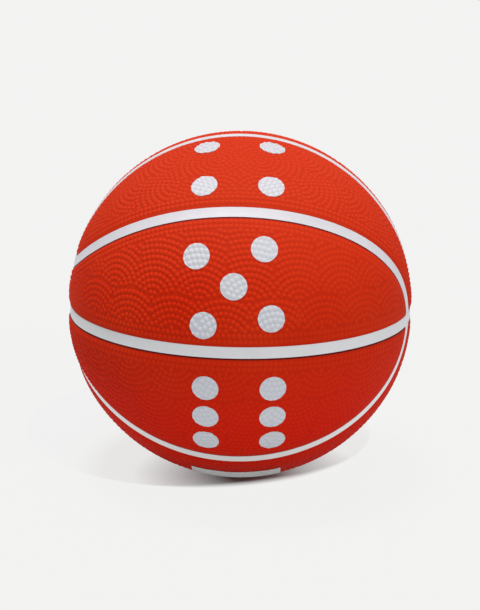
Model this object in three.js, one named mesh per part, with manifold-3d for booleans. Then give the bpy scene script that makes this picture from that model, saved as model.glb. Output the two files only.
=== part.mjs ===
import * as THREE from 'three';
import { mergeVertices } from 'three/addons/utils/BufferGeometryUtils.js';
import Module from 'manifold-3d';

const wasm = await Module();
wasm.setup();

// Mini basketball: eight rubber panels and their seam strips on a carcass, with a wound layer,
// a bladder and its valve inside. The origin is the ball's centre, +Z is up and -Y is the front.
// Lengths are in millimetres and turns in degrees.

// Ball and its layers, from the outside in
const ballDiameter = 178;
const coverThickness = 1.8;
const carcassThickness = 0.6;
const windingThickness = 0.4;
const bladderThickness = 0.7;
const layerGap = 0.3;

// Seams: channels between the panels, floored by strips, with shoulders where the panels ease down to them
const seamWidth = 5.7;
const seamDepth = 0.9;
const shoulderWidth = 4;
const shoulderDrop = 0.7;
const stripGap = 0.3;

// The winding seam makes four lobes, round the front, top, back and underside: how far each one reaches
// along the great circle that halves it
const lobeReach = 75.3;

// Printed pips and the paper label, which lie on the panels
const pipDiameter = 12.9;
const pipPitchAcross = 32.5;
const pipPitchUp = 33.9;
const filmThickness = 0.2;
const filmGap = 0.25;
const labelWidth = 45;
const labelHeight = 26;

// Where the prints lie: each one's turn about X from the front, and how far the hand-laid ones on the
// front are off to the side or tilted
const fourTurn = 66.5;
const fourOffset = -0.7;
const fiveTurn = 20.4;
const fiveOffset = -1.2;
const fiveTilt = 6.7;
const sixTurn = -23.1;
const sixOffset = 2;
const backPrintTurn = 157;
const underPrintTurn = -111;
const labelTurn = -64.5;

// Valve, on the belt seam at the back
const needleDiameter = 1.8;
const coreDiameter = 5;
const coreTipDiameter = 7;
const coreTipLength = 3;
const coreRecess = 0.3;
const coreFunnel = 0.7;
const neckWall = 1.2;
const flangeDiameter = 22;
const flangeThickness = 1.4;
const sleeveLength = 9;
const valveGap = 0.3;
const padWall = 2;

// Facets
const coverDetail = 7;
const shellSegments = 24;
const shellSteps = 11;
const ringSegments = 48;
const windingSegments = 96;
const roundSegments = 18;
const labelColumns = 8;
const labelRows = 5;
const mergeDistance = 1e-4;
const cutOverlap = 1;

// Radii that follow from the layers
const halfTurn = 180;
const lobeCount = 4;
const degrees = Math.PI / halfTurn;
const ballRadius = ballDiameter / 2;
const coverInside = ballRadius - coverThickness;
const stripTop = ballRadius - seamDepth;
const carcassOutside = coverInside - layerGap;
const windingOutside = carcassOutside - carcassThickness - layerGap;
const bladderOutside = windingOutside - windingThickness - layerGap;
const bladderInside = bladderOutside - bladderThickness;
const boreRadius = coreDiameter / 2 + valveGap;
const neckRadius = boreRadius + neckWall;
const neckHoleRadius = neckRadius + valveGap;
const padRadius = neckHoleRadius + padWall;
const flangeRadius = flangeDiameter / 2;
const seatRadius = bladderInside - valveGap;
const seatTurn = Math.asin(flangeRadius / bladderInside) / degrees;
const cutFloor = coverInside * Math.cos(Math.PI / shellSteps);   // below every flat of the cover's inside

const redRubber = { color: 0xcf2a16, roughness: 0.55, metalness: 0 };
const whiteRubber = { color: 0xe6e8ec, roughness: 0.5, metalness: 0 };
const whiteInk = { color: 0xe9ebf1, roughness: 0.6, metalness: 0 };
const whitePaper = { color: 0xeeeeea, roughness: 0.8, metalness: 0 };
const blackRubber = { color: 0x1b1b1c, roughness: 0.7, metalness: 0 };
const darkRubber = { color: 0x2b2b2d, roughness: 0.6, metalness: 0 };
const nylonThread = { color: 0xd4cbb4, roughness: 0.8, metalness: 0 };

const ball = new THREE.Group();

// A geometry as a solid: shared corners merged, flat slivers dropped and faces turned outwards
function solidFrom(geometry) {
  const bare = new THREE.BufferGeometry();
  bare.setAttribute('position', geometry.getAttribute('position'));
  bare.setIndex(geometry.getIndex());
  const merged = mergeVertices(bare, mergeDistance);
  const position = merged.getAttribute('position');
  const index = merged.getIndex();
  const corners = [new THREE.Vector3(), new THREE.Vector3(), new THREE.Vector3()];
  const triangles = [];
  let volume = 0;
  for (let first = 0; first < index.count; first += 3) {
    const triangle = [0, 1, 2].map((step) => index.getX(first + step));
    if (new Set(triangle).size < 3) continue;
    triangles.push(triangle);
    triangle.forEach((vertex, step) => corners[step].fromBufferAttribute(position, vertex));
    volume += corners[0].dot(corners[1].cross(corners[2]));
  }
  if (volume < 0) triangles.forEach((triangle) => triangle.reverse());
  const mesh = new wasm.Mesh({
    numProp: 3,
    vertProperties: new Float32Array(position.array),
    triVerts: new Uint32Array(triangles.flat()),
  });
  return new wasm.Manifold(mesh);
}

// A named piece of the ball
function addPiece(name, solid, finish) {
  const mesh = solid.getMesh();
  const geometry = new THREE.BufferGeometry();
  geometry.setAttribute('position', new THREE.BufferAttribute(new Float32Array(mesh.vertProperties), 3));
  geometry.setIndex(new THREE.BufferAttribute(new Uint32Array(mesh.triVerts), 1));
  geometry.computeVertexNormals();
  const piece = new THREE.Mesh(geometry, new THREE.MeshStandardMaterial(finish));
  piece.name = name;
  ball.add(piece);
  return piece;
}

// Height of a sphere of the given radius at a distance from the valve's axis
function heightOn(radius, distance) {
  return Math.sqrt(radius ** 2 - distance ** 2);
}

function profileFrom(points) {
  return points.map(([x, y]) => new THREE.Vector2(x, y));
}

// A turned piece about the valve's axis
function turned(points, segments = roundSegments) {
  return solidFrom(new THREE.LatheGeometry(profileFrom(points), segments));
}

// A point on the ball: a distance along the surface to the side, and a turn about X from the front
function onBall(side, turn, radius) {
  const lean = side / ballRadius;
  return new THREE.Vector3(
    radius * Math.sin(lean),
    -radius * Math.cos(lean) * Math.cos(turn * degrees),
    radius * Math.cos(lean) * Math.sin(turn * degrees),
  );
}

// Seam lines: each gives the outward direction at a turn round the seam
function beltLine(turn) {
  return new THREE.Vector3(Math.cos(turn), Math.sin(turn), 0);
}

function crownLine(turn) {
  return new THREE.Vector3(Math.cos(turn), 0, Math.sin(turn));
}

// The winding seam: half ellipses laid on the ball by their arc lengths. Each lobe opens the other way
// along X from the one before it and joins it half way from the belt to the crown.
function windingLine(turn) {
  const place = (turn / (2 * Math.PI)) * lobeCount;
  const lobe = Math.floor(place);
  const sweep = (place - lobe - 0.5) * Math.PI;
  const along = lobeReach * degrees * Math.cos(sweep);
  const across = (Math.PI / lobeCount) * Math.sin(sweep);
  const reach = Math.hypot(along, across);
  const opening = lobe % 2 === 0 ? 1 : -1;
  const point = new THREE.Vector3(
    (opening * Math.sin(reach) * along) / reach,
    -Math.cos(reach),
    (Math.sin(reach) * across) / reach,
  );
  return point.applyAxisAngle(new THREE.Vector3(-1, 0, 0), (lobe / lobeCount) * 2 * Math.PI);
}

// A ring of one section, bent to follow a seam line. The section's x is the distance across the seam
// and its y the distance from the ball's centre, so the seam keeps its width all the way round.
function seamBand({ line, segments }, section) {
  const closed = [...section, section[0]].map(([x, y]) => [x + ballRadius, y]);
  const ring = new THREE.LatheGeometry(profileFrom(closed), segments);
  const position = ring.getAttribute('position');
  const smallTurn = 1e-3;
  for (let i = 0; i < position.count; i += 1) {
    const turn = Math.atan2(position.getX(i), position.getZ(i));
    const across = Math.hypot(position.getX(i), position.getZ(i)) - ballRadius;
    const level = position.getY(i);
    const outward = line(turn);
    const onward = line(turn + smallTurn).sub(line(turn - smallTurn));
    const sideways = new THREE.Vector3().crossVectors(outward, onward).normalize();
    const point = outward.multiplyScalar(level * Math.cos(across / level));
    point.addScaledVector(sideways, level * Math.sin(across / level));
    position.setXYZ(i, point.x, point.y, point.z);
  }
  return solidFrom(ring);
}

// Section of the cut that parts two panels: parallel walls, and shoulders that slope up past the surface
function channelSection() {
  const half = seamWidth / 2;
  const shoulder = ballRadius - shoulderDrop;
  const top = ballRadius + cutOverlap;
  const flare = half + (shoulderWidth * (top - shoulder)) / shoulderDrop;
  return [
    [-half, cutFloor],
    [half, cutFloor],
    [half, shoulder],
    [flare, top],
    [0, top],
    [-flare, top],
    [-half, shoulder],
  ];
}

// Section of a plain band through the cover's depth
function bandSection(width, bottom, top) {
  const half = width / 2;
  return [[-half, bottom], [half, bottom], [half, top], [-half, top]];
}

const seams = {
  belt: { line: beltLine, segments: ringSegments },
  crown: { line: crownLine, segments: ringSegments },
  winding: { line: windingLine, segments: windingSegments },
};

// The round widening of the belt seam where the valve comes out
function padSection(radius, bottom, top) {
  return [
    [0, bottom],
    [radius, heightOn(bottom, radius)],
    [radius, heightOn(top, radius)],
    [0, top],
  ];
}

// One layer's surface in section, from the far pole to the rim of the valve's hole
function layerSurface(radius) {
  const points = [];
  for (let step = 0; step <= shellSteps; step += 1) {
    const turn = halfTurn + (seatTurn - halfTurn) * (step / shellSteps);
    points.push([radius * Math.sin(turn * degrees), radius * Math.cos(turn * degrees)]);
  }
  points.push([neckHoleRadius, heightOn(radius, neckHoleRadius)]);
  return points;
}

// A thin closed layer of the ball with a hole for the valve's neck
function ballLayer(outside, thickness) {
  const inner = layerSurface(outside - thickness).reverse();
  return turned([...layerSurface(outside), ...inner], shellSegments);
}

// Cover: a shell parted into eight panels by the channels, named in order round the ball
function addPanels() {
  const insideSurface = [...layerSurface(coverInside), [0, coverInside]];
  let cover = solidFrom(new THREE.IcosahedronGeometry(ballRadius, coverDetail));
  cover = cover.subtract(turned(insideSurface, shellSegments));
  for (const seam of Object.values(seams)) {
    cover = cover.subtract(seamBand(seam, channelSection()));
  }
  const padCut = padSection(padRadius + stripGap, cutFloor, ballRadius + cutOverlap);
  cover = cover.subtract(turned(padCut));
  const names = [
    'panel_back_lower', 'panel_under_back', 'panel_under_front', 'panel_front_lower',
    'panel_front_upper', 'panel_top_front', 'panel_top_back', 'panel_back_upper',
  ];
  const turnOf = (panel) => {
    const box = panel.boundingBox();
    return Math.atan2(box.max[2] + box.min[2], -box.max[1] - box.min[1]);
  };
  const panels = cover.decompose().sort((a, b) => turnOf(a) - turnOf(b));
  names.forEach((name, place) => addPiece(name, panels[place], redRubber));
}

// Strips: the belt is one ring with the valve's pad, the crown butts against it in halves, and the
// winding seam butts against both in quarters
function addStrips() {
  const section = bandSection(seamWidth - 2 * stripGap, coverInside, stripTop);
  const room = bandSection(seamWidth, cutFloor, ballRadius);
  const beltRoom = seamBand(seams.belt, room);
  const crownRoom = seamBand(seams.crown, room);
  const hole = new THREE.CylinderGeometry(neckHoleRadius, neckHoleRadius, ballRadius, roundSegments);
  hole.translate(0, ballRadius, 0);
  const pad = turned(padSection(padRadius, coverInside, stripTop));
  const belt = seamBand(seams.belt, section).add(pad).subtract(solidFrom(hole));
  const halves = seamBand(seams.crown, section).subtract(beltRoom).decompose();
  const quarters = seamBand(seams.winding, section).subtract(beltRoom).subtract(crownRoom).decompose();
  const levelOf = ({ min, max }) => (max[2] + min[2] > 0 ? 'upper' : 'lower');
  const facingOf = ({ min, max }) => (max[1] + min[1] < 0 ? 'front' : 'back');
  addPiece('strip_belt', belt, whiteRubber);
  for (const half of halves) {
    addPiece(`strip_crown_${levelOf(half.boundingBox())}`, half, whiteRubber);
  }
  for (const quarter of quarters) {
    const box = quarter.boundingBox();
    addPiece(`strip_${facingOf(box)}_${levelOf(box)}`, quarter, whiteRubber);
  }
}

// Layers under the cover, revolved about the valve's axis
function addLayers() {
  addPiece('carcass', ballLayer(carcassOutside, carcassThickness), blackRubber);
  addPiece('winding', ballLayer(windingOutside, windingThickness), nylonThread);
  addPiece('bladder', ballLayer(bladderOutside, bladderThickness), blackRubber);
}

// Valve: a boot that seats inside the bladder and comes out at the belt, and the core pressed into it
function addValve() {
  const flangeTop = heightOn(seatRadius, flangeRadius);
  const flangeUnder = flangeTop - flangeThickness;
  const sleeveEnd = flangeUnder - sleeveLength;
  const boot = [
    [boreRadius, sleeveEnd],
    [neckRadius, sleeveEnd],
    [neckRadius, flangeUnder],
    [flangeRadius, flangeTop - flangeThickness / 2],
    [flangeRadius, flangeTop],
    [neckRadius, heightOn(seatRadius, neckRadius)],
    [neckRadius, stripTop],
    [boreRadius, stripTop],
    [boreRadius, sleeveEnd],
  ];
  addPiece('valve_boot', turned(boot), darkRubber);
  const needleRadius = needleDiameter / 2;
  const coreRadius = coreDiameter / 2;
  const coreTop = stripTop - coreRecess;
  const tipTop = sleeveEnd - valveGap;
  const core = [
    [needleRadius, tipTop - coreTipLength],
    [coreRadius, tipTop - coreTipLength],
    [coreTipDiameter / 2, tipTop],
    [coreRadius, tipTop],
    [coreRadius, coreTop],
    [needleRadius + coreFunnel, coreTop],
    [needleRadius, coreTop - coreFunnel],
    [needleRadius, tipTop - coreTipLength],
  ];
  addPiece('valve_core', turned(core), blackRubber);
}

// Pips: thin discs bent to the ball, laid out as on a die. Each spot is in half pitches from the middle
// of its panel, to the side and up.
function addPips() {
  const corners = [[-1, 1], [1, 1], [-1, -1], [1, -1]];
  const middle = [[0, 0]];
  const rising = [[-1, -1], [1, 1]];
  const columns = [[-1, 1], [1, 1], [-1, 0], [1, 0], [-1, -1], [1, -1]];
  const faces = [
    { name: 'one', spots: middle, turn: backPrintTurn },
    { name: 'two', spots: rising, turn: -backPrintTurn },
    { name: 'three', spots: [...rising, ...middle], turn: underPrintTurn },
    { name: 'four', spots: corners, turn: fourTurn, offset: fourOffset },
    { name: 'five', spots: [...corners, ...middle], turn: fiveTurn, offset: fiveOffset, tilt: fiveTilt },
    { name: 'six', spots: columns, turn: sixTurn, offset: sixOffset },
  ];
  const bottom = ballRadius + filmGap;
  const disc = turned(padSection(pipDiameter / 2, bottom, bottom + filmThickness));
  const valveAxis = new THREE.Vector3(0, 1, 0);
  for (const { name, spots, turn, tilt = 0, offset = 0 } of faces) {
    spots.forEach(([right, up], place) => {
      const spot = new THREE.Vector2(right * pipPitchAcross, up * pipPitchUp).divideScalar(2);
      spot.rotateAround(new THREE.Vector2(), tilt * degrees);
      const side = offset + spot.x;
      const climb = spot.y / ballRadius / degrees;
      const pip = addPiece(`pip_${name}_${place + 1}`, disc, whiteInk);
      pip.quaternion.setFromUnitVectors(valveAxis, onBall(side, turn + climb, 1));
    });
  }
}

// Label: a blank paper rectangle bent to the panel at the front of the underside
function addLabel() {
  const sheet = new THREE.BoxGeometry(labelWidth, labelHeight, filmThickness, labelColumns, labelRows, 1);
  const position = sheet.getAttribute('position');
  const middle = ballRadius + filmGap + filmThickness / 2;
  for (let i = 0; i < position.count; i += 1) {
    const turn = labelTurn + position.getY(i) / ballRadius / degrees;
    const point = onBall(position.getX(i), turn, middle + position.getZ(i));
    position.setXYZ(i, point.x, point.y, point.z);
  }
  addPiece('label', solidFrom(sheet), whitePaper);
}

addPanels();
addStrips();
addLayers();
addValve();
addPips();
addLabel();

export default ball;
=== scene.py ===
import math

import bpy
import numpy as np
from mathutils import Matrix, Vector, noise
from mathutils.kdtree import KDTree


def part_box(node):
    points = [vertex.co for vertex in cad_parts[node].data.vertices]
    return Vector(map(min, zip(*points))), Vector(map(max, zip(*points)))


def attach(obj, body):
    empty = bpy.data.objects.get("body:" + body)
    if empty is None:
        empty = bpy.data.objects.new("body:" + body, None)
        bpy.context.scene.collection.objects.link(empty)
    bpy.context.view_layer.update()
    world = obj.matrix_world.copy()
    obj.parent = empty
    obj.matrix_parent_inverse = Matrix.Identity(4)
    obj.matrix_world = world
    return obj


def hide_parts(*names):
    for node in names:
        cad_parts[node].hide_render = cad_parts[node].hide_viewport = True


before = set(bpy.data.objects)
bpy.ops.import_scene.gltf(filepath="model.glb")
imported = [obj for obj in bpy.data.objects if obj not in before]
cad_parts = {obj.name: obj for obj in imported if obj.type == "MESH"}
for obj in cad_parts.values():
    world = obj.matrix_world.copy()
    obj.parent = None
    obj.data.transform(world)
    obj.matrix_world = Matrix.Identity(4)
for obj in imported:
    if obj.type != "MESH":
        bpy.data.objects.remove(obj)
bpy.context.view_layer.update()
print("frame loaded:", len(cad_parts), "nodes")

# Lengths are in millimetres and turns in degrees, and become metres where a mesh is made. Lengths in the
# materials are metres. Shapes are worked out on unit directions from the ball's centre: +Z up, -Y in front.
metre = 0.001
ballRadius = 89.0
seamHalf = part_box("panel_front_upper")[0].z / metre      # half of a channel's width, from the frame


# Ball directions and distances along its surface

def unit(vectors):
    return vectors / np.linalg.norm(vectors, axis=-1, keepdims=True)


def arcBetween(a, b):
    return 2 * ballRadius * np.arcsin(np.clip(np.linalg.norm(a - b, axis=-1) / 2, 0, 1))


def onBall(side, turn):      # a distance to the side, and a turn about X from the front
    lean = np.asarray(side) / ballRadius
    angle = np.radians(turn)
    return np.stack([np.sin(lean), -np.cos(lean) * np.cos(angle), np.cos(lean) * np.sin(angle)], -1)


def tangents(directions):
    helper = np.where(np.abs(directions[:, :1]) < 0.8, (1.0, 0.0, 0.0), (0.0, 1.0, 0.0))
    first = unit(np.cross(directions, helper))
    return first, np.cross(directions, first)


# Seams: the belt lies in z = 0, the crown in y = 0, and a winding seam makes four lobes between them.
# The front and back lobes close on the belt at the right, the top and bottom ones on the crown at the left.

seams = {
    "lobeReach": math.radians(75.3),
    "lobeRise": math.radians(45.0),
    "cornerRadius": 2.4,       # rounded corners of the panels at the crossings
    "padEdge": 6.6,            # round widening of the belt at the valve
}


def beltLine(turn):
    return np.stack([np.cos(turn), np.sin(turn), 0 * turn], -1)


def crownLine(turn):
    return np.stack([np.cos(turn), 0 * turn, np.sin(turn)], -1)


def lobeLine(turn):          # the front lobe, as a whole ellipse laid on the ball by its arc lengths
    along = seams["lobeReach"] * np.cos(turn)
    across = seams["lobeRise"] * np.sin(turn)
    reach = np.hypot(along, across)
    return np.stack([np.sin(reach) * along / reach, -np.cos(reach), np.sin(reach) * across / reach], -1)


def halfTurn(d):             # swaps the front panels with the ones above them, and left with right
    return np.stack([-d[..., 0], -d[..., 2], -d[..., 1]], -1)


def quarterLine(turn):       # the winding seam from the belt at the right to the crown at the left
    front = lobeLine(np.minimum(turn, math.pi / 2))
    top = halfTurn(lobeLine(math.pi - np.maximum(turn, math.pi / 2)))
    return np.where((turn < math.pi / 2)[..., None], front, top)


def lineStep(line, turn, small=1e-4):          # which way a seam runs
    return (line(turn + small) - line(turn - small)) / (2 * small)


def lobeDistance(d, rounds=4, longest=0.3):    # from the front lobe's seam, positive outside it
    reach = np.arccos(np.clip(-d[:, 1], -1, 1)) / np.maximum(np.hypot(d[:, 0], d[:, 2]), 1e-9)
    along, across = d[:, 0] * reach / seams["lobeReach"], d[:, 2] * reach / seams["lobeRise"]
    outside = np.hypot(along, across) > 1
    turn = np.arctan2(across, along)
    for _ in range(rounds):
        onward = lineStep(lobeLine, turn)
        step = np.sum((d - lobeLine(turn)) * onward, -1) / np.sum(onward ** 2, -1)
        turn = turn + np.clip(step, -longest, longest)
    gap = arcBetween(d, lobeLine(turn))
    return np.where(outside, gap, -gap)


def roundedLeast(distances):          # the least distance, with corners rounded where two edges meet
    radius = seams["cornerRadius"]
    distances = np.stack(distances)
    least = distances.min(0)
    short = np.clip(radius - distances, 0, None)
    return np.where(least > radius, least, radius - np.linalg.norm(short, axis=0))


# How far inside a panel each direction lies, for the upper front panels: the one over the belt, the same
# with room for the valve's pad, and the one in front of the crown. Their edges lie on the belt, the crown,
# the winding seam and the pad, in that order.

def frontEdges(d):
    belt = ballRadius * np.arcsin(np.clip(d[:, 2], -1, 1))
    crown = ballRadius * np.arcsin(np.clip(-d[:, 1], -1, 1))
    right = d[:, 0] >= 0
    winding = lobeDistance(np.where(right[:, None], d, halfTurn(d)))
    return [belt - seamHalf, crown - seamHalf, np.where(right, -winding, winding) - seamHalf]


def valveEdges(d):
    return [*frontEdges(d), arcBetween(d, np.array([0.0, -1.0, 0.0])) - seams["padEdge"]]


def topEdges(d):
    crown, belt, winding = frontEdges(halfTurn(d))
    return [belt, crown, winding]


def insideCover(d):                   # the same for the whole cover, positive inside any panel
    folded = np.stack([d[:, 0], -np.abs(d[:, 1]), np.abs(d[:, 2])], -1)
    front = np.where(d[:, 1] > 0, roundedLeast(valveEdges(folded)), roundedLeast(frontEdges(folded)))
    return np.maximum(front, roundedLeast(topEdges(folded)))


def slideTo(inside, d, level, rounds=3):       # moves directions straight across the edge to a level
    small = 1e-5
    for _ in range(rounds):
        first, second = tangents(d)
        here = inside(d)
        slopeOne = (inside(unit(d + small * first)) - here) / small
        slopeTwo = (inside(unit(d + small * second)) - here) / small
        steep = np.maximum(slopeOne ** 2 + slopeTwo ** 2, 1.0)
        share = ((level - here) / steep)[:, None]
        d = unit(d + share * (slopeOne[:, None] * first + slopeTwo[:, None] * second))
    return d


# Mesh helpers

chart = {"halfWide": 130.0, "halfHigh": 62.0}         # of the ball's surface, enough for any panel


def hexGrid(middle, spacing):                         # even triangles on an equal-area chart of the ball
    rows = int(chart["halfHigh"] / (spacing * math.sqrt(0.75)))
    columns = int(chart["halfWide"] / spacing)
    row, column = np.mgrid[-rows:rows + 1, -columns:columns + 1]
    across = (column + 0.5 * (row % 2)) * spacing
    up = row * spacing * math.sqrt(0.75)
    reach = np.hypot(across, up)
    opening = 2 * np.arcsin(np.clip(reach / (2 * ballRadius), 0, 1))
    stretch = np.sin(opening) / np.maximum(reach, 1e-9)
    sideways = np.array([1.0, 0.0, 0.0])
    upward = np.cross(middle, -sideways)
    d = (np.cos(opening)[..., None] * middle
         + (across * stretch)[..., None] * sideways + (up * stretch)[..., None] * upward)
    wide = 2 * columns + 1
    index = np.arange(d[..., 0].size).reshape(-1, wide)
    a, b = index[:-1, :-1].ravel(), index[:-1, 1:].ravel()
    c, e = index[1:, :-1].ravel(), index[1:, 1:].ravel()
    leaning = (np.repeat(row[:-1, 0] % 2, wide - 1) == 1)[:, None]
    lower = np.where(leaning, np.stack([a, b, e], 1), np.stack([a, b, c], 1))
    upper = np.where(leaning, np.stack([a, e, c], 1), np.stack([b, e, c], 1))
    return unit(d.reshape(-1, 3)), np.concatenate([lower, upper])


def compact(points, triangles):
    used = np.unique(triangles)
    place = np.full(len(points), -1)
    place[used] = np.arange(len(used))
    return used, place[triangles]


def trimmed(points, triangles, inside, level):        # the part of a mesh where inside is at least level
    kept = inside >= level
    count = kept[triangles].sum(1)
    one = triangles[count == 1]
    two = triangles[count == 2]
    turnOne = (np.argmax(kept[one], 1)[:, None] + np.arange(3)) % 3
    turnTwo = (np.argmin(kept[two], 1)[:, None] + np.arange(3)) % 3
    one = np.take_along_axis(one, turnOne, 1)         # the kept corner comes first
    two = np.take_along_axis(two, turnTwo, 1)         # the dropped corner comes first
    pairs = np.concatenate([one[:, [0, 1]], one[:, [0, 2]], two[:, [1, 0]], two[:, [2, 0]]])
    edges, place = np.unique(pairs, axis=0, return_inverse=True)
    place = place.ravel()
    top, low = inside[edges[:, 0]], inside[edges[:, 1]]
    share = ((top - level) / (top - low))[:, None]
    cuts = points[edges[:, 0]] * (1 - share) + points[edges[:, 1]] * share
    number = np.where(share[:, 0] < 1e-6, edges[:, 0], len(points) + np.arange(len(edges)))[place]
    oneB, oneC, twoA, twoB = np.split(number, np.cumsum([len(one), len(one), len(two)]))
    made = np.concatenate([
        triangles[count == 3],
        np.stack([one[:, 0], oneB, oneC], 1),
        np.stack([two[:, 1], two[:, 2], twoB], 1),
        np.stack([two[:, 1], twoB, twoA], 1),
    ])
    whole = (made[:, 0] != made[:, 1]) & (made[:, 1] != made[:, 2]) & (made[:, 2] != made[:, 0])
    points = np.concatenate([points, cuts])
    used, made = compact(points, made[whole])
    return points[used], made


def rimLoop(triangles):               # the corners of the open edge, in the order of the faces
    edges = np.concatenate([triangles[:, [0, 1]], triangles[:, [1, 2]], triangles[:, [2, 0]]])
    _, first, count = np.unique(np.sort(edges, 1), axis=0, return_index=True, return_counts=True)
    onward = {int(a): int(b) for a, b in edges[first[count == 1]]}
    start = min(onward)
    loop = [start]
    while onward[loop[-1]] != start:
        loop.append(onward[loop[-1]])
    if len(loop) != len(onward):
        print("  open edge in parts:", len(loop), "of", len(onward))
    return np.array(loop)


def bandFaces(outer, inner):          # faces between two loops of the same length
    a, b = outer, np.roll(outer, -1)
    c, e = inner, np.roll(inner, -1)
    return np.concatenate([np.stack([b, a, c], 1), np.stack([b, c, e], 1)])


def ringFaces(pairs):                 # four-sided faces between neighbouring rings of corners
    faces = []
    for a, b in pairs:
        faces += np.stack([a, np.roll(a, -1), np.roll(b, -1), b], 1).tolist()
    return faces


def zipFaces(points, outer, inner):   # faces between two loops of different lengths
    start = int(np.argmin(np.linalg.norm(points[inner] - points[outer[0]], axis=1)))
    inner = np.roll(inner, -start)
    faces, i, j = [], 0, 0
    while i < len(outer) or j < len(inner):
        a, c = outer[i % len(outer)], inner[j % len(inner)]
        b, e = outer[(i + 1) % len(outer)], inner[(j + 1) % len(inner)]
        stepOuter = np.linalg.norm(points[b] - points[c])
        stepInner = np.linalg.norm(points[a] - points[e])
        if j == len(inner) or (i < len(outer) and stepOuter <= stepInner):
            faces.append((b, a, c))
            i += 1
        else:
            faces.append((a, c, e))
            j += 1
    return np.array(faces)


def makePiece(name, points, faces, material, nodes, sharp=40, dome=None):
    mesh = bpy.data.meshes.new(name)
    mesh.from_pydata((np.asarray(points) * metre).tolist(), [], [list(map(int, f)) for f in faces])
    mesh.shade_smooth()
    mesh.set_sharp_from_angle(angle=math.radians(sharp))
    if dome is not None:
        layer = mesh.attributes.new("dome", "FLOAT", "POINT")
        layer.data.foreach_set("value", np.asarray(dome, np.float32))
    mesh.materials.append(material)
    mesh.update()
    piece = bpy.data.objects.new(name, mesh)
    bpy.context.scene.collection.objects.link(piece)
    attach(piece, "root")
    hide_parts(*nodes)
    return piece


# Finishes

def finish(name, roughness, **sockets):
    material = bpy.data.materials.new(name)
    material.use_nodes = True
    nodes, links = material.node_tree.nodes, material.node_tree.links
    shader = nodes["Principled BSDF"]
    shader.inputs["Roughness"].default_value = roughness
    for socket, value in sockets.items():
        shader.inputs[socket.replace("_", " ")].default_value = value
    place = nodes.new("ShaderNodeTexCoord").outputs["Object"]
    return material, nodes, links, shader, place


def grain(nodes, links, place, scale, detail=3.0, roughness=0.55):
    texture = nodes.new("ShaderNodeTexNoise")
    texture.inputs["Scale"].default_value = scale
    texture.inputs["Detail"].default_value = detail
    texture.inputs["Roughness"].default_value = roughness
    links.new(place, texture.inputs["Vector"])
    return texture.outputs["Fac"]


def ramp(nodes, links, value, stops):
    node = nodes.new("ShaderNodeValToRGB")
    first, last = node.color_ramp.elements
    first.position, first.color = stops[0]
    last.position, last.color = stops[-1]
    for position, colour in stops[1:-1]:
        node.color_ramp.elements.new(position).color = colour
    links.new(value, node.inputs["Fac"])
    return node.outputs["Color"]


def spread(nodes, links, value, low, high, fromLow=0.0, fromHigh=1.0):
    node = nodes.new("ShaderNodeMapRange")
    node.inputs["From Min"].default_value = fromLow
    node.inputs["From Max"].default_value = fromHigh
    node.inputs["To Min"].default_value = low
    node.inputs["To Max"].default_value = high
    links.new(value, node.inputs["Value"])
    return node.outputs["Result"]


def blendTo(nodes, links, share, colour, other):     # from a linked colour to a fixed one
    node = nodes.new("ShaderNodeMix")
    node.data_type = "RGBA"
    first, second = (s for s in node.inputs if s.type == "RGBA")
    links.new(colour, first)
    second.default_value = other
    links.new(share, node.inputs["Factor"])
    return next(s for s in node.outputs if s.type == "RGBA")


def combine(nodes, links, operation, a, b):
    node = nodes.new("ShaderNodeMath")
    node.operation = operation
    links.new(a, node.inputs[0])
    links.new(b, node.inputs[1])
    return node.outputs["Value"]


def domeShare(nodes):                  # share of a dome's height at each point, negative where shade is painted along the lips
    node = nodes.new("ShaderNodeAttribute")
    node.attribute_name = "dome"
    return node.outputs["Fac"]


def bump(nodes, links, shader, height, strength, distance):
    node = nodes.new("ShaderNodeBump")
    node.inputs["Strength"].default_value = strength
    node.inputs["Distance"].default_value = distance
    links.new(height, node.inputs["Height"])
    links.new(node.outputs["Normal"], shader.inputs["Normal"])


def byHeight(nodes, links, place, start, end):       # 0 at one height on the ball, 1 at the other
    parts = nodes.new("ShaderNodeSeparateXYZ")
    links.new(place, parts.inputs["Vector"])
    return spread(nodes, links, parts.outputs["Z"], 0.0, 1.0, start, end)


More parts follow.
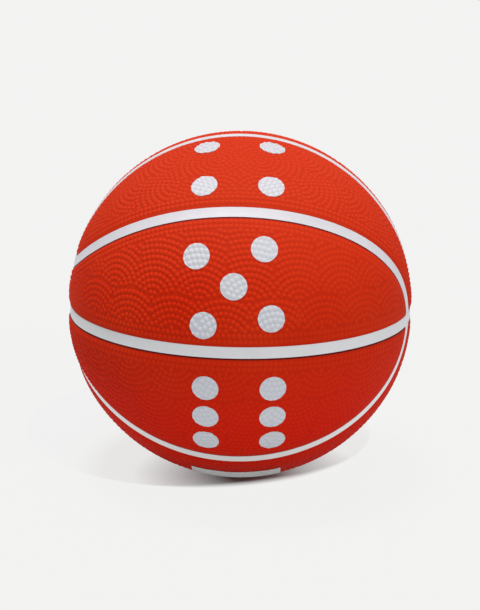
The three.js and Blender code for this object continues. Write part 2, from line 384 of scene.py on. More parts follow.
def redRubber():
    look = {
        # painted shade: a dark line along some of the panels' lips
        "lipShade": (0.07, 0.004, 0.005, 1.0),
        "creaseShadeRed": (0.42, 0.007, 0.001, 1.0),
        "main": (0.63, 0.020, 0.0012, 1.0),
        "pale": (0.69, 0.032, 0.004, 1.0),
        "upper": (0.68, 0.044, 0.0105, 1.0), "upperFrom": (0.025, 0.07),    # painted sheen, paler on top; heights at none and at full
        "lower": (0.68, 0.013, 0.0012, 1.0), "lowerFrom": (0.0, -0.04),
        "creaseShadeShare": 0.3,                  # share of painted shade, a deeper red, in the creases between the pebbles
        "lipShadeShare": 0.95,
        "roughness": (0.6, 0.72),
    }
    material, nodes, links, shader, place = finish("redRubber", 0.65, Specular_IOR_Level=0.06)
    cloud = grain(nodes, links, place, scale=22.0, detail=4.0)
    colour = ramp(nodes, links, cloud, [(0.3, look["main"]), (0.75, look["pale"])])
    for tone in ("upper", "lower"):          # painted sheen paler on top, where the light from above falls; purer red underneath
        share = byHeight(nodes, links, place, *look[tone + "From"])
        colour = blendTo(nodes, links, share, colour, look[tone])
    # painted shade: deeper red in the creases between the domes
    dome = domeShare(nodes)
    creaseShadeMask = spread(nodes, links, dome, look["creaseShadeShare"], 0.0, fromHigh=0.5)
    colour = blendTo(nodes, links, creaseShadeMask, colour, look["creaseShadeRed"])
    # painted shade along the lips, where the dome attribute is negative
    lipShadeMask = spread(nodes, links, dome, look["lipShadeShare"], 0.0, fromLow=-0.7, fromHigh=-0.05)
    colour = blendTo(nodes, links, lipShadeMask, colour, look["lipShade"])
    links.new(colour, shader.inputs["Base Color"])
    worn = grain(nodes, links, place, scale=60.0, detail=5.0)
    links.new(spread(nodes, links, worn, *look["roughness"]), shader.inputs["Roughness"])
    fine = grain(nodes, links, place, scale=3500.0, detail=2.0)
    bump(nodes, links, shader, fine, strength=0.12, distance=0.00005)
    return material


def whiteRubber():
    look = {
        "clean": (0.72, 0.69, 0.73, 1.0),
        "soiled": (0.67, 0.64, 0.68, 1.0),
        "lower": (0.96, 0.90, 0.88, 1.0), "lowerFrom": (0.03, -0.05),  # painted light: whiter and warmer underneath, in place of light thrown up by the floor
        "roughness": (0.58, 0.45),
    }
    material, nodes, links, shader, place = finish("whiteRubber", 0.5)
    soil = grain(nodes, links, place, scale=55.0, detail=6.0, roughness=0.65)
    colour = ramp(nodes, links, soil, [(0.35, look["soiled"]), (0.6, look["clean"])])
    # painted light from below: the strips grow whiter towards the bottom
    low = byHeight(nodes, links, place, *look["lowerFrom"])
    links.new(blendTo(nodes, links, low, colour, look["lower"]), shader.inputs["Base Color"])
    links.new(spread(nodes, links, soil, *look["roughness"]), shader.inputs["Roughness"])
    fine = grain(nodes, links, place, scale=2200.0)
    bump(nodes, links, shader, fine, strength=0.1, distance=0.00005)
    return material


def whiteInk():
    # painted shade: the ink is greyer in the creases between the domes than on their tops
    look = {"thin": (0.59, 0.58, 0.625, 1.0), "full": (0.66, 0.645, 0.69, 1.0)}
    material, nodes, links, shader, place = finish("whiteInk", 0.48)
    colour = ramp(nodes, links, domeShare(nodes), [(0.0, look["thin"]), (0.45, look["full"])])
    links.new(colour, shader.inputs["Base Color"])
    fine = grain(nodes, links, place, scale=3500.0, detail=2.0)
    bump(nodes, links, shader, fine, strength=0.1, distance=0.00004)
    return material


def labelPaper():
    look = {"low": (0.74, 0.74, 0.73, 1.0), "high": (0.84, 0.84, 0.83, 1.0)}
    material, nodes, links, shader, place = finish("labelPaper", 0.62)
    fibre = grain(nodes, links, place, scale=900.0, detail=5.0, roughness=0.7)
    colour = ramp(nodes, links, fibre, [(0.3, look["low"]), (0.7, look["high"])])
    links.new(colour, shader.inputs["Base Color"])
    bump(nodes, links, shader, fibre, strength=0.2, distance=0.00004)
    return material


def innerRubber(name, low, high, roughness, scale):  # low and high are its two greys
    material, nodes, links, shader, place = finish(name, roughness)
    cloud = grain(nodes, links, place, scale, detail=5.0)
    colour = ramp(nodes, links, cloud, [(0.3, (*low, 1.0)), (0.7, (*high, 1.0))])
    links.new(colour, shader.inputs["Base Color"])
    fine = grain(nodes, links, place, scale=1800.0)
    bump(nodes, links, shader, fine, strength=0.2, distance=0.0001)
    return material


def woundThread():
    look = {"dark": (0.38, 0.33, 0.22, 1.0), "light": (0.66, 0.60, 0.46, 1.0), "turns": 900.0, "stray": 6.0}
    material, nodes, links, shader, place = finish("woundThread", 0.8)
    threads = nodes.new("ShaderNodeTexWave")
    threads.inputs["Scale"].default_value = look["turns"]
    threads.inputs["Distortion"].default_value = look["stray"]
    links.new(place, threads.inputs["Vector"])
    lines = threads.outputs["Fac"]
    colour = ramp(nodes, links, lines, [(0.2, look["dark"]), (0.8, look["light"])])
    links.new(colour, shader.inputs["Base Color"])
    bump(nodes, links, shader, lines, strength=0.5, distance=0.0002)
    return material


finishes = {
    "red": redRubber(),
    "white": whiteRubber(),
    "ink": whiteInk(),
    "paper": labelPaper(),
    "boot": innerRubber("bootRubber", (0.018, 0.018, 0.019), (0.035, 0.034, 0.034), 0.55, 400.0),
    "core": innerRubber("coreRubber", (0.008, 0.008, 0.008), (0.02, 0.02, 0.02), 0.5, 500.0),
    "carcass": innerRubber("carcassRubber", (0.012, 0.012, 0.012), (0.03, 0.03, 0.03), 0.7, 90.0),
    "bladder": innerRubber("bladderRubber", (0.008, 0.008, 0.008), (0.02, 0.02, 0.02), 0.6, 60.0),
    "thread": woundThread(),
}
print("finishes made:", len(finishes))


# Pebbles: low domes in fans of arcs, like fish scales, inside two rows that follow the panel's edge

pebbles = {
    "base": -0.2,              # level of the rubber between the domes, from the ball's radius
    "radius": 1.27,
    "heightsAt": (-0.95, -0.5, 0.1, 0.55),     # places from left to right, as shares of the radius
    "heights": {               # of the domes there, lower at the right and underneath, as in the photo
        "front_upper": (0.42, 0.66, 0.48, 0.17), "front_lower": (0.58, 0.42, 0.32, 0.25),
        "top_front": (0.42, 0.64, 0.6, 0.45), "under_front": (0.28, 0.28, 0.28, 0.28),
        "back_upper": (0.42, 0.5, 0.5, 0.42), "back_lower": (0.42, 0.45, 0.45, 0.42),
        "top_back": (0.34, 0.38, 0.38, 0.34), "under_back": (0.3, 0.3, 0.3, 0.3),
    },
    "lowEdge": 0.35,           # share of the height that the row along the crown has
    "along": 2.48,             # from dome to dome along an arc
    "arcs": 2.82,              # from arc to arc
    "nearest": 1.95,           # domes closer than this are left out
    "looser": 2.2,             # and one is put in where there is this much room
    "edgeRows": (2.7, 5.4),    # rows along the panel's edge
    "fanRadius": 20.8,
    "fanPitch": 25.0,
    "farReach": 45.0,          # of the fans that have none behind them
    "frontRows": ((4.5, -6.0), (23.0, 6.5)),      # height over the belt, and shift to the right
    "frontSides": 5,           # fans to either side of a front row's middle one
    "topRows": 6,
    "rowPitch": 20.5,
    "topTurn": 68.0,           # the top rows lie about this turn
    "topSides": 2,
    "spareStep": 1.0,          # of the grid that edge rows are traced on and gaps are filled from
}


def frontFans():                       # two rows over the belt, of which the lower one lies in front
    rows = []
    count = np.arange(-pebbles["frontSides"], pebbles["frontSides"] + 1)
    for height, offset in pebbles["frontRows"]:
        along = (offset + pebbles["fanPitch"] * count) / ballRadius
        up = height / ballRadius
        rows.append(np.stack([np.cos(up) * np.sin(along), -np.cos(up) * np.cos(along),
                              np.sin(up) + 0 * along], -1))
    return rows, np.array([0.0, 0.0, 1.0])


def topFans():                         # rows that lean out from the middle to both ends
    rows = []
    count = np.arange(-pebbles["topSides"], pebbles["topSides"] + 1)
    for row in range(pebbles["topRows"]):
        side = pebbles["rowPitch"] * (row + 0.5)
        step = math.degrees(pebbles["fanPitch"] / (ballRadius * math.cos(side / ballRadius)))
        turns = pebbles["topTurn"] + step * (count + 0.5 * (row % 2))
        rows.append(np.concatenate([onBall(side + 0 * turns, turns), onBall(-side + 0 * turns, turns)]))
    return rows, None


def arcPebbles(centre, towards, reach):        # domes on circles round one fan's centre
    first, second = tangents(centre[None])
    first, second = first[0], second[0]
    lead = math.atan2(towards @ second, towards @ first)
    found = [centre[None]]
    for arc in range(1, int(reach / pebbles["arcs"]) + 1):
        opening = arc * pebbles["arcs"] / ballRadius
        count = max(6, round(2 * math.pi * ballRadius * math.sin(opening) / pebbles["along"]))
        turn = lead + (np.arange(count) + 0.5 * (arc % 2)) * 2 * math.pi / count
        ring = np.cos(turn)[:, None] * first + np.sin(turn)[:, None] * second
        found.append(math.cos(opening) * centre + math.sin(opening) * ring)
    return np.concatenate(found)


def fanPebbles(rows, upward):
    found = []
    for place, centres in enumerate(rows):
        last = place == len(rows) - 1
        for number, centre in enumerate(centres):
            towards = upward if upward is not None else np.array([math.copysign(1, centre[0]), 0, 0])
            spots = arcPebbles(centre, towards, pebbles["farReach" if last else "fanRadius"])
            own = np.ones(len(spots), bool)
            for front in rows[:place]:
                near = arcBetween(spots[:, None], front[None]).min(1)
                own &= near > pebbles["fanRadius"]
            own &= arcBetween(spots[:, None], centres[None]).argmin(1) == number
            found.append(spots[own])
    return np.concatenate(found)


def edgePebbles(inside, d, triangles, level):
    points, kept = trimmed(d, triangles, inside(d), level)
    loop = unit(points[rimLoop(kept)])
    ring = np.concatenate([loop, loop[:1]])
    length = np.concatenate([[0], np.cumsum(arcBetween(ring[1:], ring[:-1]))])
    count = round(length[-1] / pebbles["along"])
    spots = (np.arange(count) + 0.5 * (level > pebbles["edgeRows"][0])) * length[-1] / count
    return unit(np.stack([np.interp(spots, length, ring[:, axis]) for axis in range(3)], -1))


def thinned(groups, spares):
    kept = np.zeros((0, 3))
    for spot in np.concatenate(groups):
        if len(kept) == 0 or arcBetween(kept, spot).min() > pebbles["nearest"]:
            kept = np.concatenate([kept, spot[None]])
    for spot in spares:                # gaps that the fans leave between them
        if arcBetween(kept, spot).min() > pebbles["looser"]:
            kept = np.concatenate([kept, spot[None]])
    return kept


def layPebbles(inside, middle, fans):
    d, triangles = hexGrid(middle, pebbles["spareStep"])
    room = pebbles["edgeRows"][1] + pebbles["nearest"]
    edges = [edgePebbles(inside, d, triangles, level) for level in pebbles["edgeRows"]]
    fan = fanPebbles(*fans)
    return thinned([*edges, fan[inside(fan) > room]], d[inside(d) > room])


def domeHeights(d, spots):             # share of the dome's height over each direction
    tree = KDTree(len(spots))
    for number, spot in enumerate(spots):
        tree.insert(spot, number)
    tree.balance()
    away = np.array([tree.find(p)[2] for p in d]) * ballRadius
    return np.clip(1 - (away / pebbles["radius"]) ** 2, 0, None)


# Cover panels: pebbled skin, rounded lip, wall down the channel and a plain underside

panel = {
    "frontMiddle": 23.0,       # turns of the panels' middles, where their meshes start
    "topMiddle": 67.0,
    "spacing": 0.39,           # of the skin's mesh
    "shoulder": 9.0,           # the skin eases down to the seam over this width
    "shoulderDrop": 0.55,
    "lipWidth": 0.4,
    "lipDepth": 0.3,
    "lipSteps": 5,
    "thickness": 1.8,
    "endDrop": 0.7,            # the ball is drawn in a little at its two ends, where the seams cross
    "endFrom": 0.86,           # share of the radius at which that starts
    "lipShadeWidth": 0.55,           # the painted shade line along the lip fades out over this width
    "underSpacing": 3.0,
    "underEdge": 2.0,
    "snap": 0.3,               # points within this share of the spacing are moved onto the edge
}


def endDrop(d):
    ends = np.clip((np.abs(d[..., 0]) - panel["endFrom"]) / (1 - panel["endFrom"]), 0, None)
    return panel["endDrop"] * ends ** 2


def skinLevel(d, room):                # level between the pebbles, at a distance from the panel's edge
    ease = np.clip(1 - room / panel["shoulder"], 0, None)
    return pebbles["base"] - panel["shoulderDrop"] * ease ** 2 - endDrop(d)


def cutSheet(inside, middle, spacing, level):     # a panel's mesh out to a distance from its edge
    d, triangles = hexGrid(middle, spacing)
    depth = inside(d)
    near = np.abs(depth - level) < panel["snap"] * spacing
    d[near] = slideTo(inside, d[near], level)
    depth[near] = level
    d, triangles = trimmed(d, triangles, depth, level)
    return unit(d), triangles


def mouldPanel(edges, middleTurn, fans):
    def inside(directions):
        return roundedLeast(edges(directions))

    middle = onBall(0.0, middleTurn)
    spots = layPebbles(inside, middle, fans)
    level = panel["lipWidth"]
    # the skin, with its domes still flat
    d, triangles = cutSheet(inside, middle, panel["spacing"], level)
    loop = rimLoop(triangles)
    d[loop] = slideTo(inside, d[loop], level)
    dome = domeHeights(d, spots)
    distances = edges(d)
    room = roundedLeast(distances)
    byCrown = distances[1]
    lift = np.interp(byCrown, pebbles["edgeRows"], (pebbles["lowEdge"], 1.0)) * dome
    points = [d * (ballRadius + skinLevel(d, room))[:, None]]
    # share of the painted shade line along the lip, full on the lip and the wall
    lipShade = [np.clip(1 - (room - level) / panel["lipShadeWidth"], 0, 1)]
    nearest = [np.argmin(distances, 0)]
    faces = [triangles]
    count = len(d)
    outer = loop
    # the lip and the wall, ring by ring
    rings = [(panel["lipWidth"] * (1 - math.sin(turn)), panel["lipDepth"] * (1 - math.cos(turn)))
             for turn in np.linspace(0, math.pi / 2, panel["lipSteps"] + 1)[1:]]
    edge = d[loop]
    crest = ballRadius + skinLevel(edge, level)
    rings.append((0.0, crest - ballRadius + panel["thickness"]))
    for ringLevel, drop in rings:
        edge = slideTo(inside, edge, ringLevel)
        points.append(edge * (crest - drop)[:, None])
        lipShade.append(np.ones(len(edge)))
        nearest.append(nearest[0][loop])
        inner = np.arange(count, count + len(edge))
        faces.append(bandFaces(outer, inner))
        outer, count = inner, count + len(edge)
    # the underside, in a coarser mesh
    under, underFaces = cutSheet(inside, middle, panel["underSpacing"], panel["underEdge"])
    points.append(under * (ballRadius - panel["thickness"]))
    faces.append(underFaces[:, ::-1] + count)
    points = np.concatenate(points)
    faces.append(zipFaces(points, outer, rimLoop(underFaces) + count))
    rest = np.zeros(len(under))
    return {"points": points, "faces": np.concatenate(faces), "skin": triangles, "spots": spots,
            "dome": np.concatenate([dome, np.zeros(len(points) - len(dome))]),
            "lift": np.concatenate([lift, np.zeros(len(points) - len(lift))]),
            "lipShade": np.concatenate([*lipShade, rest]), "nearest": np.concatenate([*nearest, rest])}


signs = {                              # each panel is its upper front one, mirrored in these axes
    "front_upper": np.array([1, 1, 1]), "front_lower": np.array([1, 1, -1]),
    "back_upper": np.array([1, -1, 1]), "back_lower": np.array([1, -1, -1]),
    "top_front": np.array([1, 1, 1]), "under_front": np.array([1, 1, -1]),
    "top_back": np.array([1, -1, 1]), "under_back": np.array([1, -1, -1]),
}


def faced(faces, place):               # a mirrored mesh has its faces turned back outwards
    return faces if signs[place].prod() > 0 else faces[:, ::-1]


frontPanel = mouldPanel(frontEdges, panel["frontMiddle"], frontFans())
valvePanel = mouldPanel(valveEdges, panel["frontMiddle"], frontFans())
topPanel = mouldPanel(topEdges, panel["topMiddle"], topFans())
moulded = {
    "front_upper": frontPanel, "front_lower": frontPanel,
    "back_upper": valvePanel, "back_lower": valvePanel,
    "top_front": topPanel, "under_front": topPanel,
    "top_back": topPanel, "under_back": topPanel,
}
shadedLips = {                           # lips with a thin line of painted shade: along the belt 0, crown 1 or winding 2
    "front_upper": (2,), "back_upper": (2,), "front_lower": (0, 2), "back_lower": (0, 2),
    "top_front": (1,), "top_back": (1,), "under_front": (), "under_back": (),
}


def domeTop(place, points):            # how high the domes of a panel are at these points
    return np.interp(points[:, 0] / ballRadius, pebbles["heightsAt"], pebbles["heights"][place])


def pebbled(place):                    # a panel's points with the domes raised
    points = moulded[place]["points"] * signs[place]
    return points + unit(points) * (domeTop(place, points) * moulded[place]["lift"])[:, None]


for place, shape in moulded.items():
    # painted shade on the chosen lips
    lipShaded = np.isin(shape["nearest"], shadedLips[place]) & (shape["lipShade"] > 0)
    makePiece(f"cover_{place}", pebbled(place), faced(shape["faces"], place), finishes["red"],
              [f"panel_{place}"], dome=np.where(lipShaded, -shape["lipShade"], shape["dome"]))
for shape in (frontPanel, valvePanel, topPanel):
    print("panel moulded:", len(shape["spots"]), "pebbles,", len(shape["faces"]), "faces")


# Seam strips: smooth white bands in the channels, a little hollow across

strips = {
    "edge": -0.75,             # levels from the ball's radius
    "bottom": -1.8,
    "hollow": 0.12,
    "edgeGap": 0.04,           # room between a strip and the panels beside it
    "endGap": 0.02,            # and between strips that meet
    "searchFrom": 0.3,         # a strip's edge is sought from this far inside the channel's
    "crownRise": 0.75,         # the strips over the crown are full in the middle
    "riseFrom": 3.0,           # that starts this far from the belt
    "riseOver": 30.0,          # and is complete after this way
    "samples": 6001,           # along a seam, to measure its length
    "step": 1.0,
    "endWay": 3.0,             # rings lie closer together over this way at a strip's ends
    "endRings": 12,
    "across": 14,
    "padCut": 9.0,             # the belt's band stops this far from the valve, at the pad
    "padHole": 4.3,
    "padReach": (2.0, 12.0),   # the pad's edge lies between these
    "padTurns": 180,
    "padRings": 8,
}


def stripLevel(d, across):             # height of a strip's top at a distance from its middle
    return strips["edge"] - strips["hollow"] * np.clip(1 - (across / seamHalf) ** 2, 0, None) - endDrop(d)


def reachTo(middle, sideways, least, most, rounds=24):   # how far a strip reaches before it meets a panel
    low, high = np.full(len(middle), least), np.full(len(middle), most)
    for _ in range(rounds):
        half = (low + high) / 2
        angle = (half / ballRadius)[:, None]
        clear = insideCover(unit(np.cos(angle) * middle + np.sin(angle) * sideways)) < 0
        low, high = np.where(clear, half, low), np.where(clear, high, half)
    return low - strips["edgeGap"]


# widen says where a strip fills the rounded corners beside it, and rise how full it is
def sweepStrip(line, turns, widen, rise=0.0):
    middle = line(turns)
    sideways = unit(np.cross(middle, lineStep(line, turns)))
    plain = seamHalf - strips["edgeGap"]
    least, most = seamHalf - strips["searchFrom"], seamHalf + seams["cornerRadius"]
    right = np.where(widen, reachTo(middle, sideways, least, most), plain)
    left = np.where(widen, reachTo(middle, -sideways, least, most), plain)
    share = np.linspace(0, 1, strips["across"] + 1)
    across = -left[:, None] + share * (left + right)[:, None]
    bulge = rise * np.clip(1 - (across / seamHalf) ** 2, 0, None)
    top = np.stack([across, stripLevel(middle[:, None], across) + bulge], -1)
    under = top[:, ::-1].copy()
    under[..., 1] = strips["bottom"]
    section = np.concatenate([top, under[:, ::2]], 1)
    angle = (section[..., 0] / ballRadius)[..., None]
    points = (np.cos(angle) * middle[:, None] + np.sin(angle) * sideways[:, None])
    points = points * (ballRadius + section[..., 1])[..., None]
    rings, size = section.shape[:2]
    index = np.arange(rings * size).reshape(rings, size)
    faces = ringFaces(zip(index[:-1], index[1:]))
    ends = [index[0][::-1].tolist(), index[-1].tolist()]
    return points.reshape(-1, 3), faces + ends


def beltDistance(d):
    return ballRadius * np.arcsin(np.abs(d[:, 2]))


def crownDistance(d):
    return ballRadius * np.arcsin(np.abs(d[:, 1]))


def seamStops(line, first, last, distances):      # turns along a seam, closer together at its two ends
    fine = np.linspace(first, last, strips["samples"])
    way = line(fine)
    length = np.concatenate([[0], np.cumsum(arcBetween(way[1:], way[:-1]))])
    clear = np.min([distance(way) for distance in distances], 0) >= seamHalf + strips["endGap"]
    start, end = length[clear][0], length[clear][-1]
    count = round((end - start) / strips["step"])
    even = np.linspace(start + strips["endWay"], end - strips["endWay"], count)
    close = strips["endWay"] * (1 - np.cos(np.linspace(0, math.pi / 2, strips["endRings"])[:-1]))
    stops = np.concatenate([start + close, even, end - close[::-1]])
    return np.interp(stops, length, fine)


def padPatch():                        # round the valve, out to the panels and to the ends of the band
    corner = math.atan2(seamHalf, strips["padCut"])
    corners = [corner, math.pi - corner, math.pi + corner, -corner + 2 * math.pi]
    turns = np.linspace(0, 2 * math.pi, strips["padTurns"], endpoint=False)
    turns = np.unique(np.concatenate([turns, corners]))
    middle = np.tile((0.0, 1.0, 0.0), (len(turns), 1))
    outward = np.stack([np.cos(turns), 0 * turns, np.sin(turns)], -1)
    edge = reachTo(middle, outward, *strips["padReach"])
    cut = strips["padCut"] / np.maximum(np.abs(np.cos(turns)), 1e-6)
    edge = np.minimum(edge, cut)
    share = np.linspace(0, 1, strips["padRings"])
    reach = strips["padHole"] + share[:, None] * (edge - strips["padHole"])
    angle = (reach / ballRadius)[..., None]
    way = np.cos(angle) * middle + np.sin(angle) * outward
    top = way * (ballRadius + stripLevel(way, ballRadius * np.arcsin(way[..., 2])))[..., None]
    under = way[::-1] * (ballRadius + strips["bottom"])
    rings = np.concatenate([top, under])
    count = len(turns)
    index = np.arange(len(rings) * count).reshape(len(rings), count)
    faces = ringFaces(zip(index, np.roll(index, -1, 0)))
    return rings.reshape(-1, 3), [f[::-1] for f in faces]


def makeStrips():
    cut = strips["padCut"] / ballRadius
    count = round((2 * math.pi - 2 * cut) * ballRadius / strips["step"])
    beltTurns = np.linspace(math.pi / 2 + cut, 2.5 * math.pi - cut, count)
    band, bandParts = sweepStrip(beltLine, beltTurns, np.full(len(beltTurns), False))
    pad, padParts = padPatch()
    padParts = [[corner + len(band) for corner in f] for f in padParts]
    makePiece("seam_belt", np.concatenate([band, pad]), bandParts + padParts, finishes["white"],
              ["strip_belt"])
    for level, first in (("upper", 0.0), ("lower", math.pi)):
        turns = seamStops(crownLine, first, first + math.pi, [beltDistance])
        away = beltDistance(crownLine(turns))
        byBelt = away < seamHalf + 2 * seams["cornerRadius"]
        full = np.clip((away - strips["riseFrom"]) / strips["riseOver"], 0, 1)
        points, faces = sweepStrip(crownLine, turns, byBelt, strips["crownRise"] * full[:, None])
        makePiece(f"seam_crown_{level}", points, faces, finishes["white"],
                  [f"strip_crown_{level}"])
    turns = seamStops(quarterLine, 0.0, math.pi, [beltDistance, crownDistance])
    points, faces = sweepStrip(quarterLine, turns, np.full(len(turns), True))
    for place in ("front_upper", "front_lower", "back_upper", "back_lower"):
        outward = faces if signs[place].prod() > 0 else [face[::-1] for face in faces]
        makePiece(f"seam_{place}", points * signs[place], outward, finishes["white"],
                  [f"strip_{place}"])


makeStrips()
print("seam strips laid")


# Pips: ink films that follow the pebbles under them

film = {
    "radius": 6.45,
    "top": 0.05,               # the ink's level over a dome
    "fill": 0.38,              # ink gathers between the domes, to this share of their height
    "under": 0.02,             # the film's underside clears the rubber
    "margin": 1.5,             # skin that is cut out round a pip before it is trimmed
}


def pipPanel(direction):               # the panel that a pip is printed on
    d = np.asarray(direction)[None]
    folded = np.stack([d[:, 0], -np.abs(d[:, 1]), np.abs(d[:, 2])], -1)
    upper = d[0, 2] > 0
    ahead = d[0, 1] < 0
    if roundedLeast(frontEdges(folded))[0] > 0:
        return ("front" if ahead else "back") + ("_upper" if upper else "_lower")
    return ("top" if upper else "under") + ("_front" if ahead else "_back")


def printPip(node):
    low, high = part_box(node)
    direction = np.array(((low + high) / 2).normalized())
    place = pipPanel(direction)
    shape = moulded[place]
    skin = pebbled(place)
    near = film["radius"] - arcBetween(unit(skin), direction)
    some = faced(shape["skin"], place)
    some = some[(near[some] > -film["margin"]).any(1)]
    used, some = compact(skin, some)
    points, triangles = trimmed(np.column_stack([skin[used], shape["dome"][used]]), some, near[used], 0.0)
    dome, points = points[:, 3], points[:, :3]
    out = unit(points)
    loop = rimLoop(triangles)
    count = len(points)
    faces = [triangles, triangles[:, ::-1] + count, bandFaces(loop, loop + count)]
    dome = np.clip(dome, 0, 1)
    thick = film["top"] + film["fill"] * domeTop(place, points) * (1 - dome)
    both = np.concatenate([points + thick[:, None] * out, points + film["under"] * out])
    makePiece(f"ink_{node}", both, np.concatenate(faces), finishes["ink"], [node],
              dome=np.concatenate([dome, dome]))


pipNodes = sorted(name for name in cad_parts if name.startswith("pip_"))
for node in pipNodes:
    printPip(node)
print("pips printed:", len(pipNodes))


# Label: a blank paper sheet that lies over the pebble tops

label = {
    "turn": -64.5,
    "width": 45.0,
    "height": 26.0,
    "step": 0.6,
    "level": 0.27,             # of its upper side, over the ball's radius
    "thickness": 0.12,
    "showThrough": 0.07,       # how far the domes show through the paper
    "wave": 0.05,
    "waveScale": 14.0,
}


def makeLabel():
    columns = round(label["width"] / label["step"])
    rows = round(label["height"] / label["step"])
    up, across = np.mgrid[-1:1:(rows + 1) * 1j, -1:1:(columns + 1) * 1j]
    across = (across * label["width"] / 2).ravel()
    turn = label["turn"] + np.degrees(up.ravel() * label["height"] / 2 / ballRadius)
    d = onBall(across, turn)
    dome = domeHeights(d * signs["under_front"], topPanel["spots"])
    wave = np.array([noise.noise(Vector(p * label["waveScale"])) for p in d])
    level = ballRadius + label["level"] + label["showThrough"] * dome + label["wave"] * wave
    points = np.concatenate([d * level[:, None], d * (level - label["thickness"])[:, None]])
    index = np.arange(len(d)).reshape(rows + 1, columns + 1)
    a, b = index[:-1, :-1].ravel(), index[:-1, 1:].ravel()
    c, e = index[1:, :-1].ravel(), index[1:, 1:].ravel()
    faces = np.stack([a, b, e, c], 1)
    loop = np.concatenate([index[0], index[1:, -1], index[-1, -2::-1], index[-2:0:-1, 0]])
    walls = np.stack([np.roll(loop, -1), loop, loop + len(d), np.roll(loop, -1) + len(d)], 1)
    faces = np.concatenate([faces, faces[:, ::-1] + len(d), walls])
    makePiece("label_sheet", points, faces, finishes["paper"], ["label"])


makeLabel()
print("label laid")


# Valve: a turned boot and the core pressed into it, on the belt at the back

valve = {
    "seat": 83.9,              # from the ball's centre to the flange's top
    "neck": 4.0,               # radii from here to the needle
    "bore": 2.8,
    "core": 2.5,
    "tip": 3.5,
    "needle": 0.9,
    "flange": 0.7,             # thickness at its rim and the rise of its cone
    "tipGap": 0.3,
    "funnel": 0.7,
    "funnelStep": 0.25,
    "recess": 0.3,
    "edge": 0.25,
    "edgeSteps": 4,
    "segments": 72,
}


def turnedAboutY(profile):             # profile of (radius, y) points that closes on itself
    turns = np.linspace(0, 2 * math.pi, valve["segments"], endpoint=False)
    rings = [np.stack([r * np.cos(turns), y + 0 * turns, r * np.sin(turns)], -1) for r, y in profile]
    index = np.arange(len(rings) * len(turns)).reshape(len(rings), -1)
    return np.concatenate(rings), ringFaces(zip(index, np.roll(index, -1, 0)))


def roundedCorner(radius, y, outward):     # a rounded top edge of a turned piece
    size = valve["edge"]
    turns = np.linspace(0, math.pi / 2, valve["edgeSteps"] + 1)
    corner = [(radius - outward * size * (1 - math.cos(t)), y - size * (1 - math.sin(t))) for t in turns]
    return corner if outward > 0 else corner[::-1]


def makeValve():
    lowBoot, highBoot = (corner.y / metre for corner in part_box("valve_boot"))
    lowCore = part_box("valve_core")[0].y / metre
    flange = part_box("valve_boot")[1].x / metre
    seat = math.sqrt(valve["seat"] ** 2 - flange ** 2)
    neckSeat = math.sqrt(valve["seat"] ** 2 - valve["neck"] ** 2)
    boot = [(valve["bore"], lowBoot), (valve["neck"], lowBoot), (valve["neck"], seat - 2 * valve["flange"]),
            (flange, seat - valve["flange"]), (flange, seat), (valve["neck"], neckSeat),
            *roundedCorner(valve["neck"], highBoot, 1), *roundedCorner(valve["bore"], highBoot, -1)]
    points, faces = turnedAboutY(boot)
    makePiece("valve_boot_turned", points, faces, finishes["boot"], ["valve_boot"], sharp=50)
    top = highBoot - valve["recess"]
    tip = lowBoot - valve["tipGap"]
    needle, step = valve["needle"], valve["funnelStep"]
    core = [(needle, lowCore), (valve["core"], lowCore), (valve["tip"], tip), (valve["core"], tip),
            *roundedCorner(valve["core"], top, 1), (needle + valve["funnel"], top),
            (needle + step, top - step), (needle, top - valve["funnel"])]
    points, faces = turnedAboutY(core)
    makePiece("valve_core_turned", points, faces, finishes["core"], ["valve_core"],
              sharp=50)


makeValve()
for node, material in (("carcass", "carcass"), ("winding", "thread"), ("bladder", "bladder")):
    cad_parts[node].data.materials.clear()
    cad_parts[node].data.materials.append(finishes[material])
print("valve and inner layers done")


# Stage: a pale floor with a painted shadow rim, soft light from above and from the right, and the camera

stage = {
    "floorHalf": 6000.0,
    "floorGap": 0.25,          # under the ball's radius, for its pebbles
    # tinted cyan, which offsets the red light that the ball throws onto the floor
    "floor": (0.70, 0.79, 0.80, 1.0),
    "paper": (0.893, 0.893, 0.883, 1.0),    # the floor's own look to the camera, away from the shadow
    "foot": (0.007, -0.012, 0.0),           # the real shadow shows fully at this foot, and is painted thinner with distance from it
    "thins": (0.012, 0.062), "thinned": 0.86,
    "paintedShadowMiddle": (-0.024, 0.063, 0.0),          # middle and rim of the painted shadow: past the rim the floor is painted lit
    "rim": (0.089, 0.0965), "lit": 0.96,
    "backdrop": 0.89,          # what the camera sees over the floor's far edge
    "worldLight": 0.33,        # even light from all round
    "suns": {                  # where each one shines from, its spread in degrees and its strength
        "above": ((-0.12, 0.01, 1.0), 14.0, 2.2),
        "side": ((0.55, -0.66, 0.51), 16.0, 0.72),
    },
    "cameraDistance": 954.7,
    "azimuth": 1.375, "elevation": 15.26, "roll": -0.72,
    "lens": 108.94, "shiftX": -0.0004, "shiftY": -0.0019,
}


def paleRays(nodes, links):            # rays that see the pale backdrop: the camera's and mirrored ones
    path = nodes.new("ShaderNodeLightPath").outputs
    total = path["Is Camera Ray"]
    for kind in ("Is Glossy Ray", "Is Transmission Ray"):
        total = combine(nodes, links, "MAXIMUM", total, path[kind])
    return total


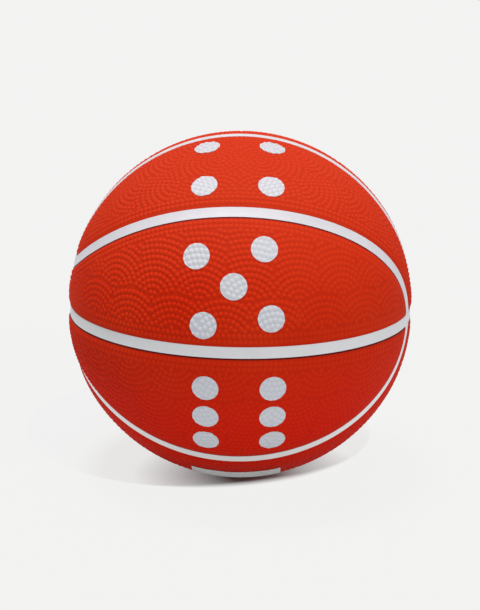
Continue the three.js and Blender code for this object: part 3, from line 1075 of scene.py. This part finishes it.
def makeFloor():
    mesh = bpy.data.meshes.new("floor")
    half, level = stage["floorHalf"] * metre, -(ballRadius + stage["floorGap"]) * metre
    corners = [(-half, -half, level), (half, -half, level), (half, half, level), (-half, half, level)]
    mesh.from_pydata(corners, [], [(0, 1, 2, 3)])
    material, nodes, links, shader, place = finish("paleFloor", 0.8, Specular_IOR_Level=0.1)
    shader.inputs["Base Color"].default_value = stage["floor"]
    flat = nodes.new("ShaderNodeVectorMath")
    flat.operation = "MULTIPLY"
    flat.inputs[1].default_value = (1.0, 1.0, 0.0)
    links.new(place, flat.inputs[0])

    def fromPoint(middle, reach, most):
        away = nodes.new("ShaderNodeVectorMath")
        away.operation = "DISTANCE"
        away.inputs[1].default_value = middle
        links.new(flat.outputs["Vector"], away.inputs[0])
        return spread(nodes, links, away.outputs["Value"], 0.0, most, *reach)

    # painted shadow: near the foot and inside the rim the camera sees the ball's real shadow, thinned with
    # distance; past the rim the pale paper covers it
    nearFoot = fromPoint(stage["foot"], stage["thins"], stage["thinned"])
    pastRim = fromPoint(stage["paintedShadowMiddle"], stage["rim"], stage["lit"])
    share = combine(nodes, links, "MAXIMUM", nearFoot, pastRim)
    seen = combine(nodes, links, "MULTIPLY", share, paleRays(nodes, links))
    paper = nodes.new("ShaderNodeEmission")
    paper.inputs["Color"].default_value = stage["paper"]
    both = nodes.new("ShaderNodeMixShader")
    links.new(seen, both.inputs["Fac"])
    links.new(shader.outputs["BSDF"], both.inputs[1])
    links.new(paper.outputs["Emission"], both.inputs[2])
    links.new(both.outputs["Shader"], nodes["Material Output"].inputs["Surface"])
    mesh.materials.append(material)
    floor = bpy.data.objects.new("floor", mesh)
    bpy.context.scene.collection.objects.link(floor)


def makeSun(name, place, spreadAngle, strength):
    data = bpy.data.lights.new(name, "SUN")
    data.angle = math.radians(spreadAngle)
    data.energy = strength
    lamp = bpy.data.objects.new(name, data)
    lamp.location = place
    lamp.rotation_euler = (-Vector(place)).to_track_quat("-Z", "Y").to_euler()
    bpy.context.scene.collection.objects.link(lamp)


def makeWorld():
    world = bpy.data.worlds.new("studio")
    world.use_nodes = True
    nodes, links = world.node_tree.nodes, world.node_tree.links
    nodes["Background"].inputs["Color"].default_value = (1.0, 1.0, 1.0, 1.0)
    strength = spread(nodes, links, paleRays(nodes, links), stage["worldLight"], stage["backdrop"])
    links.new(strength, nodes["Background"].inputs["Strength"])
    bpy.context.scene.world = world


def makeCamera():
    data = bpy.data.cameras.new("camera")
    data.lens = stage["lens"]
    data.shift_x, data.shift_y = stage["shiftX"], stage["shiftY"]
    camera = bpy.data.objects.new("camera", data)
    turn = (Matrix.Rotation(math.radians(stage["azimuth"]), 4, "Z")
            @ Matrix.Rotation(math.radians(-stage["elevation"]), 4, "X")
            @ Matrix.Rotation(math.radians(stage["roll"]), 4, "Y"))
    away = turn @ Vector((0, 1, 0))
    camera.matrix_world = (Matrix.Translation(-away * stage["cameraDistance"] * metre)
                           @ turn @ Matrix.Rotation(math.radians(90), 4, "X"))
    bpy.context.scene.collection.objects.link(camera)
    bpy.context.scene.camera = camera


makeFloor()
for name, (place, spreadAngle, strength) in stage["suns"].items():
    makeSun(name, place, spreadAngle, strength)
makeWorld()
makeCamera()
bpy.context.scene.view_settings.view_transform = "Standard"
print("stage set")
